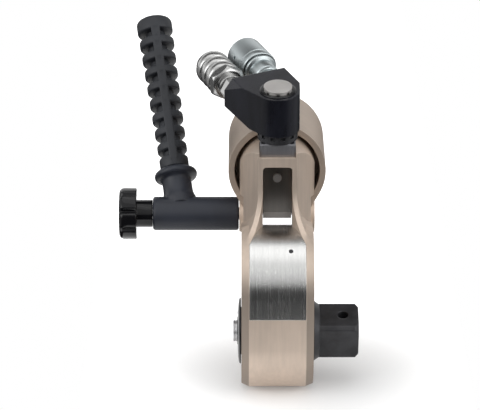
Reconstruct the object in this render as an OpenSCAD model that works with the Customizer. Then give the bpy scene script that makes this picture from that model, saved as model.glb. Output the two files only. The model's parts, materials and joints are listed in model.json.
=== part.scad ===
// Hydraulic torque wrench with a square drive, a side handle and a hose swivel.
// Frame: +X out along the drive square, +Y back along the barrel, +Z up.
// Origin: on the drive axis, at the middle of the nose's width.

/* [Drive] */
// Drive square across its flats
drive_af = 38.1; // [36:0.1:40]
// Drive square across its rounded corners
drive_corner_d = 49.5; // [46:0.1:52]
// Length of the square beyond its collar
drive_len = 36; // [25:0.5:45]
// Chamfer round the end of the square
drive_chamfer = 3; // [1:0.5:5]
// Thickness of the collar behind the square
collar_t = 5.5; // [3:0.5:8]
// Diameter of the collar behind the square
collar_d = 56.5; // [55:0.5:60]
// Diameter of the cross hole for the socket pin
cross_d = 10; // [6:0.5:12]
// Turn of the square about the drive axis
drive_turn = 18.5; // [0:0.5:45]
// Diameter of the journal on the square's side
journal_d = 54; // [50:0.5:54]
// Diameter of the journal on the button's side
small_journal_d = 44; // [40:0.5:46]
// Wall of the two drive bushes
bush_wall = 4; // [3:0.5:6]
// Diameter of the retainer disc
disc_d = 61; // [50:0.5:66]
// Thickness of the retainer disc
disc_t = 3.5; // [2:0.5:5]
// Diameter of the retainer button
button_d = 20; // [14:0.5:24]
// How far the button stands out of its disc
button_out = 3.7; // [2:0.1:6]
// Length of the button inside the drive
button_in = 10; // [8:0.5:14]

/* [Ratchet] */
// Diameter over the ratchet's tips
ratchet_d = 76; // [70:0.5:78]
// Depth of the ratchet's teeth
tooth_h = 4; // [3:0.5:5]
// Number of ratchet teeth
teeth = 30; // [24:1:36]
// Diameter of the ratchet's hubs that carry the crank
hub_d = 60; // [58:0.5:62]
// Diameter of the drive spline inside the ratchet
spline_d = 46; // [44:0.5:48]
// Number of keys on the drive spline
spline_keys = 12; // [8:1:16]

/* [Nose] */
// Radius of the nose
nose_r = 51.4; // [50:0.2:54]
// Width of the nose
nose_w = 66; // [62:0.5:72]
// Height of the nose's straight front
nose_rise = 50; // [46:0.5:54]
// Width of the bevel along the nose's side edges
edge_w = 7; // [4:0.5:9]
// Depth of that bevel
edge_d = 3; // [1:0.5:5]
// Radius of the round cavity for the ratchet and the crank's hubs
cavity_r = 42; // [41:0.5:44]
// Thickness of the shroud
shroud_t = 2; // [1.5:0.1:2.5]
// Width of the shroud
shroud_w = 51.2; // [46:0.2:51.6]
// Height of the shroud's lower edge
shroud_low = 31; // [24:0.5:40]
// Diameter of the shroud's screw
shroud_screw_d = 4; // [3:0.5:5]
// Length of the shroud's screw
shroud_screw_len = 7; // [5:0.5:7.5]
// Place of the shroud's screw, to the right of the middle
shroud_screw_x = 12; // [8:0.5:14]
// Depth of the shroud screw's head under the shroud's face
shroud_screw_sink = 0.5; // [0.3:0.1:0.8]
// Height angle of the shroud's screw round the nose
shroud_screw_tilt = 52; // [46:1:56]
// How far the shroud's tongue reaches back over the nose
shroud_back = 19; // [12:0.5:22]

/* [Neck] */
// Place of the neck's front face
neck_front = 5; // [3:0.5:7]
// Width of the neck's front face
neck_front_w = 36; // [35:0.5:40]
// Width of the neck at the barrel
neck_rear_w = 69; // [66:0.5:71]
// Gap between the neck and the barrel's recess, at the top
neck_gap = 4; // [1:0.5:4.5]
// Flat sides below the barrel, measured from the middle
side_x = 31.2; // [30.5:0.1:32]
// How far below the barrel's axis the flat sides end
side_drop = 23; // [20:0.5:26]
// Width of the slot through the neck
slot_w = 27; // [26.8:0.1:28]
// Height of the slot's top above the barrel's axis
slot_rise = 17; // [17:0.2:19]
// Corner radius at the slot's top
slot_corner = 3.5; // [2.5:0.5:4]
// How far below the barrel's axis the neck starts to flare out to the nose
flare_drop = 10; // [6:0.5:14]
// Radius of the flare, seen from the front
flare_r = 60; // [56:1:66]
// Radius of the blend between neck and nose, seen from the side
blend_r = 45; // [42:0.5:46]
// Handle boss diameter
boss_d = 34; // [30:0.5:38]
// Handle boss face, measured from the middle
boss_x = 35; // [34.5:0.5:38]
// Handle boss place along the barrel
boss_y = 58; // [56:0.5:60]
// Handle boss, how far below the barrel's axis
boss_drop = 46.8; // [46:0.1:49]
// Thread diameter of the handle bosses
boss_thread_d = 12; // [8:0.5:14]
// Thread depth of the handle bosses
boss_thread_len = 12; // [8:0.5:13]

/* [Barrel] */
// Outer diameter of the barrel
barrel_d = 90; // [88:0.5:94]
// Place of the barrel's front face
barrel_front = 45; // [44:0.5:46]
// Length of the barrel's thick part
barrel_len = 96; // [94:0.5:102]
// Diameter of the recess in the barrel's front
recess_d = 79; // [78:0.5:81]
// Depth of that recess
recess_depth = 31; // [31:0.5:34]
// Wall between the recess and the bore
gland_wall = 16; // [14:0.5:16]
// Bore of the barrel
bore_d = 60; // [56:0.5:62]
// Outer diameter of the reaction spline
reaction_d = 72; // [70:0.5:74]
// Length of the reaction spline
reaction_len = 17; // [16:0.5:20]
// Number of teeth on the reaction spline
reaction_teeth = 24; // [16:1:32]
// Diameter of the end cap's flange
cap_d = 66; // [64:0.5:68]
// Thickness of the end cap's flange
cap_t = 7; // [5:0.5:9]
// Depth of the end cap's spigot
cap_spigot = 6; // [4:0.5:7]
// Piston thickness
piston_t = 20; // [16:0.5:20]
// Rod diameter
rod_d = 32; // [28:0.5:34]
// Outer diameter of the rod gland
gland_d = 52; // [46:0.5:56]

/* [Crank] */
// Radius from the drive axis to the cross pin
crank_r = 148; // [146:0.5:150]
// Lean of the crank at rest
crank_lean = 25; // [24.6:0.1:25.2]
// Swing of the crank over its full stroke
crank_swing = 15; // [10:0.5:15]
// Thickness of each crank cheek
cheek_t = 5; // [4:0.1:5.2]
// Half width of the crank's legs, seen from the side
leg_half = 8; // [6:0.5:8.5]
// Radius of the crank's hub
crank_hub_r = 40; // [38:0.5:41]
// Cross pin diameter
pin_d = 12; // [10:0.5:12.5]
// Thickness of the rod's tongue
tongue_t = 14; // [10:0.2:14.4]
// Width of the crank's head
head_w = 26; // [24:0.2:26.2]
// Diameter of the pawl pins
pawl_pin_d = 10; // [8:0.5:11]

/* [Swivel] */
// Lean of the swivel towards the front
swivel_lean = 10; // [0:0.5:12]
// Place of the swivel's foot along the barrel
swivel_y = 24; // [22:0.5:26]
// Height of the swivel's foot above the barrel's axis
swivel_rise = 29.3; // [28.5:0.1:31]
// Side of the swivel block
block_w = 32.4; // [30:0.2:35]
// Height of the swivel block
block_h = 12.6; // [10:0.2:15]
// Height of the base ring
ring_h = 8; // [6:0.2:10]
// Diameter of the base ring
ring_d = 37; // [34:0.5:39]
// Diameter of the manifold's round front
manifold_d = 40; // [38:0.5:42]
// Height of the manifold
manifold_h = 38.5; // [34:0.5:42]
// Diameter of the swivel post
post_d = 20; // [18:0.2:22]
// Diameter of the post's thread
post_thread_d = 16; // [14:0.5:17]
// Diameter of the post's head
post_head_d = 25.8; // [24:0.2:28]
// Height of the post's head
post_head_h = 4; // [3:0.2:6]
// Turn of the manifold to the left
manifold_turn = 24; // [15:0.5:30]

/* [Couplers] */
// Distance of the couplers' face from the post
port_n = 38.5; // [37:0.5:41]
// Left coupler's offset from the post
left_t = -21; // [-22:0.5:-20]
// Right coupler's offset from the post
right_t = 17; // [16:0.5:18]
// Thread diameter of the two ports
port_d = 16; // [12:0.5:17]
// Thread depth of the two ports
port_len = 10; // [8:0.5:12]
// Nipple hexagon across its flats
nipple_af = 22; // [20:0.5:24]
// Nipple length
nipple_len = 19; // [15:0.5:22]
// Left coupler's diameter over its collar
left_d = 33; // [31:0.5:34]
// Left coupler's hexagon across its flats
left_hex_af = 30; // [28:0.5:30.5]
// Length of the left coupler's hexagon
left_hex_len = 14; // [12:0.5:16]
// Length of the round neck under the left coupler's hexagon
left_neck = 5; // [4:0.5:6]
// Number of rings on the left coupler's collar
left_rings = 3; // [2:1:3]
// Spacing of those rings
ring_pitch = 10.6; // [9.6:0.2:11]
// Width of the grooves between those rings
ring_groove = 1.8; // [1.4:0.2:2.6]
// Left coupler's length
left_len = 50; // [46:0.5:54]
// Right coupler's sleeve diameter
right_d = 35; // [33:0.5:36]
// Right coupler's length
right_len = 56; // [52:0.5:60]
// Travel of the right coupler's sleeve
sleeve_travel = 5; // [3:0.5:7]
// Radius of the left coupler's mouth
left_mouth_r = 8; // [7:0.1:8.5]
// Radius of the right coupler's mouth
right_mouth_r = 10.5; // [9:0.1:11]
// Depth of the two mouths
mouth_depth = 10; // [8:0.5:12]
// Step between a mouth and its valve's bore
mouth_step = 2; // [1.5:0.5:3]
// Length of the two valves
valve_len = 12; // [8:0.5:14]
// Travel of the two valves
valve_travel = 4; // [2:0.5:5]
// How far the collar and the sleeve stand past their couplers
mouth_lip = 2; // [1:0.5:3]

/* [Handle] */
// Diameter of the handle's tee
tee_d = 31.3; // [29:0.1:33]
// Length of the handle's tee
tee_len = 80; // [74:0.5:86]
// Diameter of the knob's stem
stem_d = 25.6; // [22:0.2:28]
// Length of the knob's stem
stem_len = 14.6; // [10:0.2:18]
// Diameter over the knob's lobes
knob_d = 47.6; // [43:0.1:51]
// Thickness of the knob
knob_t = 16.4; // [12:0.2:20]
// Number of lobes on the knob
knob_lobes = 8; // [6:1:9]
// Distance of the grip's axis from the boss
grip_x = 54; // [48:0.5:58]
// Lean of the grip outwards
grip_out = 8; // [0:0.5:10]
// Lean of the grip backwards
grip_back = 43; // [0:1:60]
// Distance of the collar under the grip from the tee's axis
grip_collar_s = 35.5; // [32:0.5:40]
// Diameter of the collar under the grip
grip_collar_d = 40; // [36:0.5:44]
// Thickness of the collar under the grip
grip_collar_t = 9; // [6:0.5:12]
// Diameter of the neck under the collar
grip_neck_d = 27.5; // [24:0.5:30]
// Distance of the lowest rib from the grip's foot
grip_plain = 21.5; // [18:0.5:24]
// Height of the grip's end over its top rib
grip_cap = 10; // [8:0.5:12]
// Number of ribs on the grip
rib_count = 9; // [8:1:10]
// Spacing of the ribs
rib_pitch = 15.7; // [15:0.1:17]
// Diameter over the lowest rib
rib_low_d = 28; // [26:0.5:30]
// Diameter over the top rib
rib_high_d = 33.8; // [31:0.2:35]
// Width of the spines that join the ribs
spine_w = 6.5; // [5:0.5:8]
// How far the spines stay below the ribs
spine_drop = 1.2; // [0.8:0.1:2]
// Diameter of the grip between its ribs
grip_root_d = 23; // [20:0.5:24]
// Diameter of the steel core in the grip
core_d = 12; // [8:0.5:14]

/* [Fits] */
// Radial gap of a running fit
run_gap = 0.05; // [0.02:0.01:0.1]
// Gap between pieces that move past each other
side_gap = 0.4; // [0.3:0.05:0.5]
// Diameter of the small screws
screw_d = 5; // [4:0.5:5]
// Depth of the small screws in the neck
screw_len = 14; // [10:0.5:15]
// Gap at a loose pin
pin_gap = 0.9; // [0.8:0.05:1]
// Smallest wall at a bore
min_wall = 3.6; // [3:0.1:4]

/* [Hidden] */
$fn = 96;
eps = 0.01;
nose_half = nose_w / 2;
pin_y = crank_r * sin(crank_lean);
pin_z = crank_r * cos(crank_lean);
pin_end_y = crank_r * sin(crank_lean - crank_swing);
pin_end_z = crank_r * cos(crank_lean - crank_swing);
stroke = pin_y - pin_end_y;
barrel_z = (pin_z + pin_end_z) / 2 + 1;
slot_top = barrel_z + slot_rise;
flare_z = barrel_z - flare_drop;
boss_z = barrel_z - boss_drop;
swivel_z = barrel_z + swivel_rise;
slot_half = slot_w / 2;
head_half = head_w / 2;
barrel_r = barrel_d / 2;
recess_r = recess_d / 2;
neck_rear = barrel_front + recess_depth;
neck_top_room = 60;
neck_front_half = neck_front_w / 2;
neck_rear_half = neck_rear_w / 2;
side_y = neck_front + (barrel_front - neck_front) * (side_x - neck_front_half) / (neck_rear_half - neck_front_half);
step_z = barrel_z - side_drop;
nose_core = nose_half - edge_w;
blend_y = neck_front - blend_r;
blend_z = nose_rise + sqrt(pow(blend_r + nose_r, 2) - pow(blend_y, 2));
touch_y = blend_y * nose_r / (nose_r + blend_r);
fork_in = slot_half + side_gap;
fork_out = fork_in + cheek_t;
fork_half = fork_out + side_gap;
ratchet_half = fork_in - side_gap;
hub_half = fork_half - side_gap * 0.75;
journal_r = journal_d / 2;
small_journal_r = small_journal_d / 2;
drive_left = -nose_half - side_gap;
collar_x = nose_half + side_gap;
square_x = collar_x + collar_t;
drive_end = square_x + drive_len;
cross_x = square_x + drive_len * 0.6;
gland_back = neck_rear + gland_wall;
barrel_back = barrel_front + barrel_len;
spline_back = barrel_back + reaction_len;
cap_in = spline_back - cap_spigot;
piston_back = cap_in - side_gap;
piston_front = piston_back - piston_t;
rod_r = rod_d / 2;
pin_r = pin_d / 2;
ear_r = pin_r + min_wall + 0.3;
web_half = leg_half + 0.6;
ear_in = tongue_t / 2 + side_gap;
tongue_front = pin_y - pin_r - pin_gap - min_wall;
tongue_back = pin_y + ear_r + 2;
tongue_low = pin_z - pin_r - pin_gap - min_wall;
tongue_high = min(pin_end_z + pin_r + pin_gap + min_wall, slot_top - 2 * side_gap);
crossbar_low = barrel_z - 33;
crossbar_high = barrel_z - 21;
guard_y = 38;
guard_t = 2.5;
guard_low = barrel_z - 43;
guard_top = barrel_z + 9;
guard_screw_z = barrel_z - 3;
pawl_r = 8;
pawl_room = cavity_r - 2;
leaf_t = 0.8;
drive_pawl_at = [6, 58];
hold_pawl_at = [-20, 58];
manifold_low = block_h + ring_h + side_gap;
manifold_high = manifold_low + manifold_h;
post_r = post_d / 2;
port_u = manifold_low + manifold_h / 2;
tee_x = -boss_x - side_gap;
tee_end = tee_x - tee_len;
stem_x = tee_end - side_gap;
knob_x = stem_x - stem_len;
knob_end = knob_x - knob_t;
bolt_r = boss_thread_d / 2 - run_gap;
grip_at = -boss_x - grip_x;
collar_top_s = grip_collar_s + grip_collar_t;
grip_low_s = collar_top_s + side_gap;
first_rib_s = grip_low_s + grip_plain;
top_rib_s = first_rib_s + (rib_count - 1) * rib_pitch;
grip_end_s = top_rib_s + grip_cap;

// Extrusion along X of an outline drawn in Y and Z
module along_x(x0, x1) {
  translate([x0, 0, 0]) rotate([90, 0, 90]) linear_extrude(x1 - x0) children();
}

// Extrusion along Y of an outline drawn in X and Z
module along_y(y0, y1) {
  translate([0, y1, 0]) rotate([90, 0, 0]) linear_extrude(y1 - y0) children();
}

// Round bar along X
module rod_x(x0, x1, r, y = 0, z = 0) {
  translate([x0, y, z]) rotate([0, 90, 0]) cylinder(h = x1 - x0, r = r);
}

// Round bar along Y
module rod_y(y0, y1, r, x = 0, z = 0) {
  translate([x, y0, z]) rotate([-90, 0, 0]) cylinder(h = y1 - y0, r = r);
}

// The same piece on the left and on the right
module both_sides() {
  children();
  mirror([1, 0, 0]) children();
}

// Hexagonal bar across flats
module hex_bar(af, h) {
  cylinder(h = h, d = af / cos(30), $fn = 6);
}

// Place of the swivel's foot, with +Z up its post
module at_swivel() {
  translate([0, swivel_y, swivel_z]) rotate([swivel_lean, 0, 0]) children();
}

// Place of a port on the manifold, with +Z out of the port
module at_port(t) {
  at_swivel() translate([0, 0, port_u]) rotate([0, 0, manifold_turn])
    translate([t, port_n, 0]) rotate([-90, 0, 0]) children();
}

// Place of the grip, with +Z up its axis
module at_grip() {
  translate([grip_at, boss_y, boss_z]) rotate([-grip_back, 0, 0]) rotate([0, -grip_out, 0]) children();
}

// The crank's own frame, with the arm along +Z
module at_crank() {
  rotate([-crank_lean, 0, 0]) children();
}

// Side outline of the nose
module nose_outline(r) {
  circle(r);
  translate([0, nose_rise]) circle(r);
  translate([-r, 0]) square([2 * r, nose_rise]);
}

// Nose with its bevelled side edges
module nose_solid() {
  core = nose_core;
  low = nose_r - edge_d;
  for (z = [0, nose_rise]) translate([0, 0, z]) {
    rod_x(-core, core, nose_r);
    both_sides() translate([core, 0, 0]) rotate([0, 90, 0]) cylinder(h = edge_w, r1 = nose_r, r2 = low);
  }
  linear_extrude(nose_rise) polygon([
    [core, nose_r], [nose_half, low], [nose_half, -low], [core, -nose_r],
    [-core, -nose_r], [-nose_half, -low], [-nose_half, low], [-core, nose_r]
  ]);
}

// Neck: narrow at the front, wide at the barrel, and round inside the barrel's recess
module neck_solid() {
  fit_r = recess_r - neck_gap;
  intersection() {
    linear_extrude(swivel_z + neck_top_room) polygon([
      [-neck_front_half, neck_front], [neck_front_half, neck_front],
      [neck_rear_half, barrel_front], [-neck_rear_half, barrel_front]
    ]);
    union() {
      translate([-side_x, neck_front, nose_rise]) cube([2 * side_x, barrel_front - neck_front, step_z - nose_rise]);
      translate([-neck_rear_half, neck_front, step_z]) cube([neck_rear_w, barrel_front - neck_front, side_drop]);
      rod_y(neck_front, barrel_front, fit_r, 0, barrel_z);
    }
  }
  intersection() {
    rod_y(barrel_front - eps, neck_rear, fit_r, 0, barrel_z);
    translate([-neck_rear_half, 0, 0]) cube([neck_rear_w, neck_rear, swivel_z + neck_top_room]);
  }
}

// Two ribs that blend the neck's front into the nose's sides
module flare_solid() {
  difference() {
    translate([-nose_half, touch_y, nose_rise]) cube([nose_w, barrel_front - touch_y, blend_z - nose_rise]);
    translate([0, blend_y, blend_z]) {
      rod_x(-nose_half - 1, nose_half + 1, blend_r);
      both_sides() translate([nose_core, 0, 0]) rotate([0, 90, 0])
        cylinder(h = edge_w + eps, r1 = blend_r, r2 = blend_r + edge_d);
    }
    both_sides() rod_y(-nose_r, barrel_front + 1, flare_r, neck_front_half + flare_r, flare_z);
    translate([0, 0, nose_rise]) linear_extrude(flare_z) between_ribs(0);
  }
}

// Plan of the space between the two ribs
module between_ribs(gap) {
  wide = shroud_w / 2 + 0.2 - gap;
  narrow = slot_half - gap;
  rib_y = -nose_r / 2;
  polygon([
    [-wide, -nose_r - 1], [wide, -nose_r - 1], [wide, rib_y], [narrow, neck_front],
    [narrow, shroud_back], [-narrow, shroud_back], [-narrow, neck_front], [-wide, rib_y]
  ]);
}

// Side plates and handle bosses under the barrel
module side_plates() {
  plate_rear = neck_rear - 4;
  difference() {
    union() {
      along_x(-side_x, side_x) polygon([
        [side_y, nose_rise], [side_y, step_z], [plate_rear, step_z],
        [plate_rear, barrel_z - barrel_r], [nose_r * 0.93, nose_rise * 0.8]
      ]);
      rod_x(-boss_x, boss_x, boss_d / 2, boss_y, boss_z);
    }
    along_y(barrel_front, neck_rear) translate([0, barrel_z]) barrel_outline();
  }
}

// Front outline of the barrel, with its straight run-in to the neck
module barrel_outline() {
  run_in = 29.5;
  run_len = 15.5;
  tangent = [barrel_r * cos(run_in), -barrel_r * sin(run_in)];
  foot = tangent - run_len * [sin(run_in), cos(run_in)];
  circle(barrel_r);
  polygon([tangent, foot, [-foot.x, foot.y], [-tangent.x, tangent.y]]);
}

// Slot through the neck, with round top corners
module slot_outline() {
  low = nose_rise + 10;
  translate([-slot_half, low]) square([slot_w, slot_top - slot_corner - low]);
  translate([-slot_half + slot_corner, low]) square([slot_w - 2 * slot_corner, slot_top - low]);
  both_sides() translate([slot_half - slot_corner, slot_top - slot_corner]) circle(slot_corner);
}

// Room for the ratchet, the crank's hubs and legs, and the pawls
module mechanism_room() {
  along_x(-fork_half, fork_half) {
    circle(cavity_r);
    polygon([
      [-25, 33], [3.2, 76], [neck_front + 1, 88], [neck_front + 8, crossbar_high + 6],
      [neck_rear + 1, crossbar_high + 6], [neck_rear + 1, 70], [cavity_r, 0]
    ]);
  }
  along_x(-slot_half, slot_half) polygon([
    [-pawl_room, 0], [-pawl_room, 62], [-24, 86], [-24, 112], [shroud_back + 1, 112], [shroud_back + 1, 0]
  ]);
}

// Forged housing: nose, neck, bosses and the slot through them
module housing() {
  color([0.64, 0.59, 0.55]) difference() {
    union() {
      nose_solid();
      neck_solid();
      flare_solid();
      side_plates();
    }
    at_swivel() translate([-block_w / 2 - side_gap, -nose_w, 0])
      cube([block_w + 2 * side_gap, 3 * nose_w, neck_top_room * 2]);
    at_swivel() translate([0, 0, -slot_top / 4]) cylinder(h = slot_top / 2, d = post_thread_d);
    along_y(neck_front - 1, neck_rear + 1) slot_outline();
    mechanism_room();
    rod_y(tongue_back - stroke - side_gap, neck_rear + 1, rod_r + side_gap, 0, barrel_z);
    rod_x(fork_half, nose_half + 1, journal_r + bush_wall);
    rod_x(-nose_half - 1, -fork_half, small_journal_r + bush_wall);
    rod_x(-fork_half - 6, fork_half + 6, pawl_pin_d / 2, hold_pawl_at.x, hold_pawl_at.y);
    both_sides() rod_x(boss_x - boss_thread_len, boss_x + 1, boss_thread_d / 2, boss_y, boss_z);
    block_screw_places() translate([0, 0, -8]) cylinder(h = 9, d = screw_d);
    barrel_screw_places() rod_y(neck_rear - screw_len, neck_rear + 1, screw_d / 2);
    shroud_body(1, 0);
    shroud_screw_body(0);
  }
}

// Bent cover: how far it stands proud, and the gap at its edges
module shroud_body(proud, gap) {
  intersection() {
    along_x(-nose_half, nose_half) intersection() {
      difference() {
        nose_outline(nose_r + proud);
        nose_outline(nose_r - shroud_t);
      }
      translate([-nose_r - 1, shroud_low + gap]) square([nose_r + shroud_back + 1, 2 * nose_r]);
    }
    linear_extrude(4 * nose_r) between_ribs(gap);
  }
}

// Place and shape of the one screw that holds the shroud
module shroud_screw_body(over) {
  translate([shroud_screw_x, 0, nose_rise]) rotate([90 - shroud_screw_tilt, 0, 0])
    translate([0, 0, nose_r - shroud_screw_len])
      cylinder(h = shroud_screw_len - shroud_screw_sink + over, d = shroud_screw_d);
}

// Brushed cover over the nose's front and top
module shroud() {
  color([0.75, 0.75, 0.75]) difference() {
    shroud_body(0, 0.15);
    shroud_screw_body(2 * shroud_screw_sink);
  }
}

// Countersunk screw that holds the shroud
module shroud_screw() {
  color([0.2, 0.2, 0.2]) shroud_screw_body(0);
}

// Cylinder with its front recess, bore and reaction spline
module barrel() {
  color([0.62, 0.58, 0.54]) difference() {
    union() {
      along_y(barrel_front, barrel_front + 25) translate([0, barrel_z]) barrel_outline();
      rod_y(barrel_front, barrel_back, barrel_r, 0, barrel_z);
      along_y(barrel_back - eps, spline_back) translate([0, barrel_z]) reaction_outline();
    }
    rod_y(barrel_front - 1, neck_rear, recess_r, 0, barrel_z);
    rod_y(neck_rear - 1, gland_back + 1, gland_d / 2, 0, barrel_z);
    rod_y(gland_back, spline_back + 1, bore_d / 2, 0, barrel_z);
    barrel_screw_places() rod_y(neck_rear - 1, gland_back - 2, screw_d / 2);
    translate([-fork_half, barrel_front - 1, barrel_z - barrel_d]) cube([2 * fork_half, recess_depth + 1, barrel_d]);
  }
}

// Outline of the reaction spline
module reaction_outline() {
  root_r = reaction_d / 2 - 2;
  circle(root_r);
  for (i = [0 : reaction_teeth - 1]) rotate(i * 360 / reaction_teeth)
    translate([root_r - 1, -2]) square([3, 4]);
}

// Four screws between the neck's back and the barrel
module barrel_screw_places() {
  for (s = [-1, 1], t = [-1, 1]) translate([s * 28.5, 0, barrel_z + t * 14]) children();
}

// Screws through the recess's floor into the neck
module barrel_screws() {
  color([0.25, 0.25, 0.26]) barrel_screw_places() rod_y(neck_rear - screw_len, gland_back - 2, screw_d / 2);
}

// Screwed plug behind the piston
module end_cap() {
  color([0.6, 0.56, 0.53]) difference() {
    union() {
      rod_y(spline_back, spline_back + cap_t, cap_d / 2, 0, barrel_z);
      rod_y(cap_in, spline_back + eps, bore_d / 2, 0, barrel_z);
    }
    for (s = [-1, 1]) rod_y(spline_back + 2, spline_back + cap_t + 1, 3, s * 22, barrel_z);
  }
}

// Front bush that guides the rod
module rod_gland() {
  color([0.72, 0.55, 0.3]) difference() {
    rod_y(neck_rear, gland_back, gland_d / 2, 0, barrel_z);
    rod_y(neck_rear - 1, gland_back + 1, rod_r + run_gap, 0, barrel_z);
    rod_y(neck_rear + 6, neck_rear + 10, rod_r + 3, 0, barrel_z);
  }
}

// Seal in the gland's groove
module gland_seal() {
  color([0.08, 0.08, 0.08]) difference() {
    rod_y(neck_rear + 6, neck_rear + 10, rod_r + 3, 0, barrel_z);
    rod_y(neck_rear + 5, neck_rear + 11, rod_r + run_gap, 0, barrel_z);
  }
}

// Bronze bushes that carry the drive
module drive_bushes() {
  color([0.7, 0.52, 0.28]) {
    difference() {
      rod_x(fork_half, nose_half, journal_r + bush_wall);
      rod_x(fork_half - 1, nose_half + 1, journal_r + run_gap);
    }
    difference() {
      rod_x(-nose_half, -fork_half, small_journal_r + bush_wall);
      rod_x(-nose_half - 1, -fork_half + 1, small_journal_r + run_gap);
    }
  }
}

// Pin of the holding pawl
module holding_pawl_pin() {
  color([0.5, 0.5, 0.52]) rod_x(-fork_half - 6, fork_half + 6, pawl_pin_d / 2, hold_pawl_at.x, hold_pawl_at.y);
}

// Leaf spring behind the holding pawl
module holding_spring() {
  color([0.35, 0.36, 0.4]) along_x(-5, 5) translate([-pawl_room, 30]) square([leaf_t, 20]);
}

// Bright block between the neck and the swivel
module swivel_block() {
  color([0.72, 0.72, 0.74]) at_swivel() difference() {
    translate([-block_w / 2, -block_w / 2, 0]) cube([block_w, block_w, block_h]);
    translate([0, 0, -1]) cylinder(h = block_h + 2, d = post_d);
    for (a = [45 : 90 : 315]) rotate(a) translate([block_w * 0.55, 0, -1]) cylinder(h = block_h + 2, d = screw_d);
  }
}

// Four screws of the swivel block
module block_screw_places() {
  at_swivel() for (a = [45 : 90 : 315]) rotate(a) translate([block_w * 0.55, 0, 0]) children();
}

// Screws that hold the block on the neck
module block_screws() {
  color([0.2, 0.2, 0.21]) block_screw_places() translate([0, 0, -8]) cylinder(h = 8 + block_h - 0.5, d = screw_d);
}

// Notched ring under the manifold
module swivel_base_ring() {
  color([0.05, 0.05, 0.06]) at_swivel() translate([0, 0, block_h]) difference() {
    cylinder(h = ring_h, d = ring_d);
    translate([0, 0, -1]) cylinder(h = ring_h + 2, d = post_d);
    for (i = [0 : 11]) rotate(i * 30 + 15) translate([ring_d / 2 - 2, -2, ring_h / 2]) cube([4, 4, ring_h]);
  }
}

// Hollow post with its notched head
module swivel_post() {
  color([0.66, 0.63, 0.61]) at_swivel() difference() {
    union() {
      translate([0, 0, -8]) cylinder(h = 8 + eps, d = post_thread_d);
      cylinder(h = manifold_high + side_gap + eps, d = post_d);
      translate([0, 0, manifold_high + side_gap]) cylinder(h = post_head_h, d = post_head_d);
    }
    for (i = [0 : 7]) rotate(i * 45) translate([post_head_d / 2 - 1.6, -1.6, manifold_high])
      cube([4, 3.2, post_head_h - 1.4]);
    seal_places() difference() {
      cylinder(h = 2.4, d = post_d + 1);
      translate([0, 0, -1]) cylinder(h = 5, d = post_d - 3);
    }
  }
}

// Heights of the three seals on the post
module seal_places() {
  for (f = [0.15, 0.5, 0.85]) translate([0, 0, manifold_low + f * manifold_h - 1.2]) children();
}

// Seals between the post and the manifold
module post_seals() {
  color([0.07, 0.07, 0.07]) at_swivel() seal_places() difference() {
    cylinder(h = 2.4, d = post_d);
    translate([0, 0, -1]) cylinder(h = 5, d = post_d - 3);
  }
}

// Outline of the drive's spline, with a gap all round
module spline_outline(gap) {
  root_r = spline_d / 2 - 2.5 + gap;
  circle(root_r);
  for (i = [0 : spline_keys - 1]) rotate(i * 360 / spline_keys)
    translate([root_r - 1, -2.5 - gap]) square([3.5, 5 + 2 * gap]);
}

// Drive shaft with its square end
module square_drive() {
  color([0.2, 0.2, 0.21]) difference() {
    union() {
      rotate([drive_turn, 0, 0]) intersection() {
        translate([collar_x, -drive_af / 2, -drive_af / 2]) cube([drive_end - collar_x, drive_af, drive_af]);
        rod_x(collar_x, drive_end, drive_corner_d / 2);
        translate([collar_x, 0, 0]) rotate([0, 90, 0])
          cylinder(h = drive_end - collar_x, r1 = drive_corner_d / 2 - drive_chamfer + drive_end - collar_x,
                   r2 = drive_corner_d / 2 - drive_chamfer);
      }
      translate([collar_x, 0, 0]) rotate([0, 90, 0])
        cylinder(h = collar_t, d1 = collar_d, d2 = drive_corner_d - 1);
      rod_x(hub_half, collar_x + eps, journal_r);
      along_x(-hub_half, hub_half + eps) spline_outline(0);
      rod_x(drive_left, -hub_half + eps, small_journal_r);
    }
    rotate([drive_turn, 0, 0]) translate([cross_x, 0, -collar_d]) cylinder(h = 2 * collar_d, d = cross_d);
    rod_x(drive_left - 1, drive_left + button_in + 4.5, button_d / 2 + run_gap);
    disc_screw_places() rod_x(drive_left - 1, drive_left + 7, 1.5);
  }
}

// Ratchet with hubs on both sides
module ratchet_wheel() {
  tip_r_out = ratchet_d / 2;
  step = 360 / teeth;
  color([0.45, 0.45, 0.47]) difference() {
    union() {
      along_x(-ratchet_half, ratchet_half) polygon([
        for (i = [0 : teeth - 1]) each [
          tip_r_out * [cos(i * step), sin(i * step)],
          (tip_r_out - tooth_h) * [cos(i * step + step * 0.15), sin(i * step + step * 0.15)]
        ]
      ]);
      rod_x(-hub_half, hub_half, hub_d / 2);
    }
    along_x(-hub_half - 1, hub_half + 1) spline_outline(0.02);
  }
}

// Disc that closes the drive's left end
module retainer_disc() {
  color([0.08, 0.08, 0.08]) difference() {
    rod_x(drive_left - disc_t, drive_left, disc_d / 2);
    rod_x(drive_left - disc_t - 1, drive_left + 1, button_d / 2 + run_gap);
    disc_screw_places() rod_x(drive_left - disc_t - 1, drive_left + 1, 1.5);
  }
}

// Three screws round the retainer disc
module disc_screw_places() {
  for (a = [90, 210, 330]) rotate([a, 0, 0]) translate([0, 0, small_journal_r - 5]) children();
}

// Screws that hold the retainer disc
module disc_screws() {
  color([0.25, 0.25, 0.26]) disc_screw_places() rod_x(drive_left - disc_t + 0.3, drive_left + 7, 1.5);
}

// Button that frees the drive
module retainer_button() {
  color([0.7, 0.7, 0.71]) rod_x(drive_left - disc_t - button_out, drive_left + button_in, button_d / 2);
}

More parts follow.
